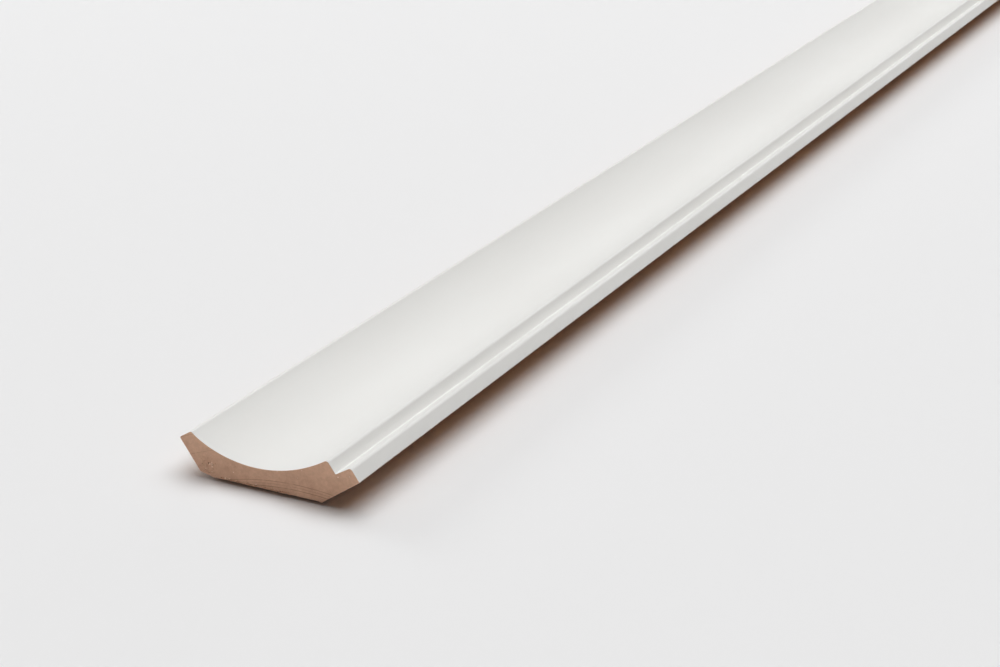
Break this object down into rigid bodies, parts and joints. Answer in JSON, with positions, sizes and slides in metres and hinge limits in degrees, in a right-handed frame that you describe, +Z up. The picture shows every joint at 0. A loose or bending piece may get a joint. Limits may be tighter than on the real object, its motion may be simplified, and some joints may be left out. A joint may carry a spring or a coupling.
{
  "type": "crown moulding length",
  "caption": "Straight length of painted cove crown moulding with a stepped lip, a flat back and two sloping seats, square to each other, for the wall and the ceiling.",
  "frame": {"origin": "centre of the bounding box at its base, on the surface that the flat back lies on", "axes": "+X across the moulding towards the stepped lip, +Y along its length, +Z up, out of the flat back"},
  "size_m": [0.0696, 1, 0.0153],
  "materials": {
    "painted_fibreboard": "satin white paint on the face and lip, bare brown fibreboard on the back, the seats and the cut ends"
  },
  "bodies": {
    "root": {"crown_moulding": "painted_fibreboard"}
  },
  "joints": []
}
